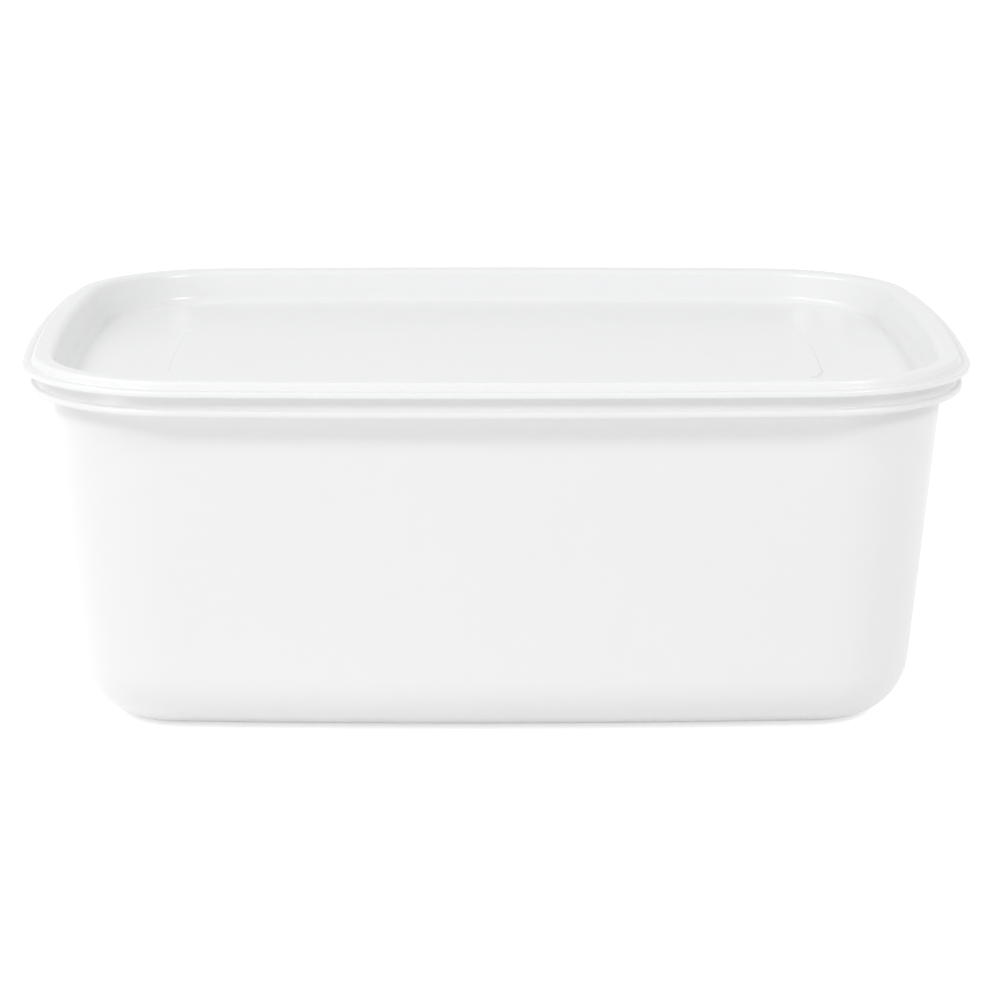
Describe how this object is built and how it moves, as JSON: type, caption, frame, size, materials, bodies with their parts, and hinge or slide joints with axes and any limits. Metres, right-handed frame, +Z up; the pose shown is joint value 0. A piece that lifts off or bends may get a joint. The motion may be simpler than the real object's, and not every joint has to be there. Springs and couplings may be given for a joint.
{
  "type": "freezer container",
  "caption": "White plastic freezer container, shut: tapered tub with large corner radii and an outward rim, closed by a plug lid with a raised rim, sunk panel and oval field.",
  "frame": {"origin": "centre of the base, on the surface it stands on", "axes": "+X along the long side, +Y to the back long side, +Z up"},
  "size_m": [0.22, 0.158, 0.0842],
  "materials": {
    "tub_plastic": "moulded white polypropylene, satin gloss, slightly cloudy",
    "lid_plastic": "moulded white polypropylene, satin gloss, a little cooler than the tub"
  },
  "bodies": {
    "root": {"tub": "tub_plastic", "lid": "lid_plastic"}
  },
  "joints": []
}
